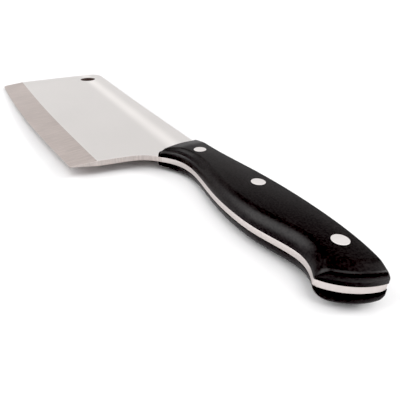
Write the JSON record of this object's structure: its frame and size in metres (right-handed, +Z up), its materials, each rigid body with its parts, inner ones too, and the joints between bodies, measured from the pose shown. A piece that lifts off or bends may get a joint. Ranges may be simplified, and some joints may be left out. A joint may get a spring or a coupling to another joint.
{
  "type": "meat cleaver",
  "caption": "Full-tang meat cleaver with a broad bevelled blade, a hanging hole at the toe and a riveted black scale handle, lying flat on its side.",
  "frame": {"origin": "centre of the bounding box in X and Y, on the table plane that the toe and the handle rest on", "axes": "+X along the handle, away from the blade; +Y towards the blade's spine; +Z up from the table, close to the blade's flat face"},
  "size_m": [0.2982, 0.0786, 0.0158],
  "materials": {
    "blade_steel": "fine satin flats with a cross-ground bevel",
    "handle_plastic": "satin moulded",
    "rivet_steel": "satin, ground flush"
  },
  "bodies": {
    "root": {"blade": "blade_steel", "handle_scale_upper": "handle_plastic", "handle_scale_lower": "handle_plastic", "rivet_pin_front": "rivet_steel", "rivet_sleeve_front": "rivet_steel", "rivet_pin_middle": "rivet_steel", "rivet_sleeve_middle": "rivet_steel", "rivet_pin_rear": "rivet_steel", "rivet_sleeve_rear": "rivet_steel"}
  },
  "joints": []
}
